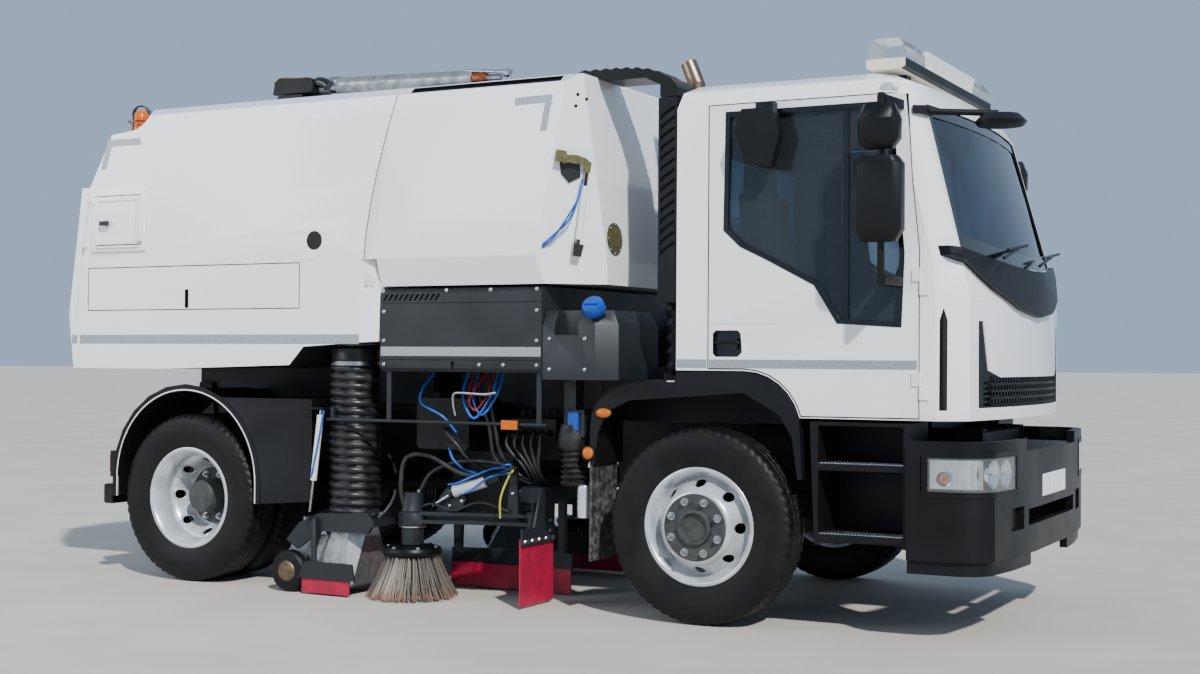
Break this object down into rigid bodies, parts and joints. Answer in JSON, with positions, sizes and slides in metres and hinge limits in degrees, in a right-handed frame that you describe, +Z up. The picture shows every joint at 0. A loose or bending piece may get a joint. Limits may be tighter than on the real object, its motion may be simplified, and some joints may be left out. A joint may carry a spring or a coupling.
{
  "type": "truck-mounted street sweeper",
  "caption": "Two-axle road sweeper truck with tilting hopper, twin suction tubes, side brooms, tall cab and roof light bar.",
  "frame": {"origin": "on the ground under the vehicle, midway along its overall length and on its centre line", "axes": "+X forward, +Y to the vehicle's left, +Z up"},
  "size_m": [5.7977, 2.66, 3.17],
  "materials": {
    "amber_lamp": "lens",
    "bare_steel": "bright",
    "black_plastic": "matt",
    "black_rubber": "satin",
    "blue_cap": "gloss",
    "bristle_steel": "worn wire",
    "chassis_paint": "satin",
    "crimson_rubber": "satin",
    "dark_paint": "satin",
    "exhaust_steel": "heat tinted",
    "glass": "clear",
    "lamp_glass": "clear lens",
    "red_lamp": "lens",
    "seat_cloth": "woven",
    "tyre_rubber": "matt",
    "wheel_silver": "satin metallic",
    "white_paint": "gloss"
  },
  "bodies": {
    "chassis": {"chassis_frame": "chassis_paint", "front_axle": "chassis_paint", "rear_axle": "chassis_paint", "truck_engine": "chassis_paint", "cab_shell": "white_paint", "cab_glass": "glass", "cab_interior": "seat_cloth", "cab_trim": "black_plastic", "hydraulic_gear": "dark_paint", "grille": "black_plastic", "front_bumper": "black_plastic", "headlamps": "lamp_glass", "cab_steps": "black_plastic", "front_mudguards": "black_plastic", "light_bar": "lamp_glass", "air_intake": "black_plastic", "exhaust_stack": "exhaust_steel", "engine_enclosure": "dark_paint", "filler_boxes": "dark_paint", "filler_cap": "blue_cap", "suction_tubes": "black_rubber", "suction_nozzles": "bare_steel", "rubber_skirts": "crimson_rubber", "sweep_frame": "chassis_paint", "lift_struts": "bare_steel", "rear_mudguards": "black_plastic", "rear_bumper": "chassis_paint", "rear_lamps": "red_lamp"},
    "knuckle_right": {"knuckle_right": "chassis_paint"},
    "knuckle_left": {"knuckle_left": "chassis_paint"},
    "front_wheel_right": {"front_tyre_right": "tyre_rubber", "front_rim_right": "wheel_silver"},
    "front_wheel_left": {"front_tyre_left": "tyre_rubber", "front_rim_left": "wheel_silver"},
    "rear_wheels_right": {"rear_tyres_right": "tyre_rubber", "rear_rims_right": "wheel_silver"},
    "rear_wheels_left": {"rear_tyres_left": "tyre_rubber", "rear_rims_left": "wheel_silver"},
    "door_right": {"door_right": "white_paint", "door_glass_right": "glass", "mirrors_right": "black_plastic"},
    "door_left": {"door_left": "white_paint", "door_glass_left": "glass", "mirrors_left": "black_plastic"},
    "hopper": {"hopper_shell": "white_paint", "hopper_fittings": "black_plastic", "roof_fittings": "black_plastic", "beacon": "amber_lamp"},
    "roof_boom": {"roof_boom": "bare_steel"},
    "rear_door": {"rear_door": "white_paint"},
    "side_hatch": {"side_hatch": "white_paint"},
    "broom_arm_right": {"broom_arm_right": "chassis_paint"},
    "broom_arm_left": {"broom_arm_left": "chassis_paint"},
    "broom_right": {"broom_right": "bristle_steel"},
    "broom_left": {"broom_left": "bristle_steel"},
    "nozzle_wheel_right": {"nozzle_wheel_right": "black_rubber"},
    "nozzle_wheel_left": {"nozzle_wheel_left": "black_rubber"},
    "ram_barrel": {"ram_barrel": "chassis_paint"},
    "ram_rod": {"ram_rod": "bare_steel"}
  },
  "joints": [
    {"name": "steer_right", "type": "hinge", "parent": "chassis", "child": "knuckle_right", "pos_m": [1.345, -0.88, 0.5], "axis": [0, 0, 1], "range_deg": [-35, 35]},
    {"name": "front_wheel_spin_right", "type": "hinge", "parent": "knuckle_right", "child": "front_wheel_right", "pos_m": [1.345, -0.993, 0.5], "axis": [0, 1, 0], "continuous": true},
    {"name": "rear_wheel_spin_right", "type": "hinge", "parent": "chassis", "child": "rear_wheels_right", "pos_m": [-1.985, -0.873, 0.5], "axis": [0, 1, 0], "continuous": true},
    {"name": "door_swing_right", "type": "hinge", "parent": "chassis", "child": "door_right", "pos_m": [2.478, -1.056, 1.8], "axis": [0, 0, 1], "range_deg": [0, 70]},
    {"name": "broom_arm_swing_right", "type": "hinge", "parent": "chassis", "child": "broom_arm_right", "pos_m": [0.23, -0.82, 0.45], "axis": [0, 0, 1], "range_deg": [0, 20]},
    {"name": "broom_spin_right", "type": "hinge", "parent": "broom_arm_right", "child": "broom_right", "pos_m": [-0.455, -1, 0.3], "axis": [0, 0, 1], "continuous": true},
    {"name": "nozzle_wheel_spin_right", "type": "hinge", "parent": "chassis", "child": "nozzle_wheel_right", "pos_m": [-1.195, -1.15, 0.12], "axis": [0, 1, 0], "continuous": true},
    {"name": "steer_left", "type": "hinge", "parent": "chassis", "child": "knuckle_left", "pos_m": [1.345, 0.88, 0.5], "axis": [0, 0, 1], "range_deg": [-35, 35]},
    {"name": "front_wheel_spin_left", "type": "hinge", "parent": "knuckle_left", "child": "front_wheel_left", "pos_m": [1.345, 0.993, 0.5], "axis": [0, 1, 0], "continuous": true},
    {"name": "rear_wheel_spin_left", "type": "hinge", "parent": "chassis", "child": "rear_wheels_left", "pos_m": [-1.985, 0.873, 0.5], "axis": [0, 1, 0], "continuous": true},
    {"name": "door_swing_left", "type": "hinge", "parent": "chassis", "child": "door_left", "pos_m": [2.478, 1.056, 1.8], "axis": [0, 0, -1], "range_deg": [0, 70]},
    {"name": "broom_arm_swing_left", "type": "hinge", "parent": "chassis", "child": "broom_arm_left", "pos_m": [0.23, 0.82, 0.45], "axis": [0, 0, -1], "range_deg": [0, 20]},
    {"name": "broom_spin_left", "type": "hinge", "parent": "broom_arm_left", "child": "broom_left", "pos_m": [-0.455, 1, 0.3], "axis": [0, 0, 1], "continuous": true},
    {"name": "nozzle_wheel_spin_left", "type": "hinge", "parent": "chassis", "child": "nozzle_wheel_left", "pos_m": [-1.195, 1.15, 0.12], "axis": [0, 1, 0], "continuous": true},
    {"name": "hopper_tip", "type": "hinge", "parent": "chassis", "child": "hopper", "pos_m": [-2.45, 0, 1.13], "axis": [0, -1, 0], "range_deg": [0, 50]},
    {"name": "rear_door_swing", "type": "hinge", "parent": "hopper", "child": "rear_door", "pos_m": [-2.716, 0, 2.394], "axis": [0, 1, 0], "range_deg": [0, 80]},
    {"name": "boom_swing", "type": "hinge", "parent": "hopper", "child": "roof_boom", "pos_m": [-1.93, -0.12, 3.06], "axis": [0, 0, -1], "range_deg": [0, 180]},
    {"name": "side_hatch_swing", "type": "hinge", "parent": "hopper", "child": "side_hatch", "pos_m": [-2.255, -1.264, 2.1675], "axis": [0, 0, 1], "range_deg": [0, 110]},
    {"name": "ram_pivot", "type": "hinge", "parent": "chassis", "child": "ram_barrel", "pos_m": [-0.4, 0, 0.85], "axis": [0, -1, 0], "range_deg": [-18.94, 0]},
    {"name": "ram_slide", "type": "slide", "parent": "ram_barrel", "child": "ram_rod", "axis": [-0.9578, 0, 0.2873], "range_m": [0, 0.6684]}
  ],
  "couplings": [
    {"joint": "steer_left", "follows": "steer_right", "ratio": 1},
    {"joint": "ram_pivot", "follows": "hopper_tip", "ratio": -0.36873},
    {"joint": "ram_slide", "follows": "hopper_tip", "m_per_rad": 0.75452}
  ]
}
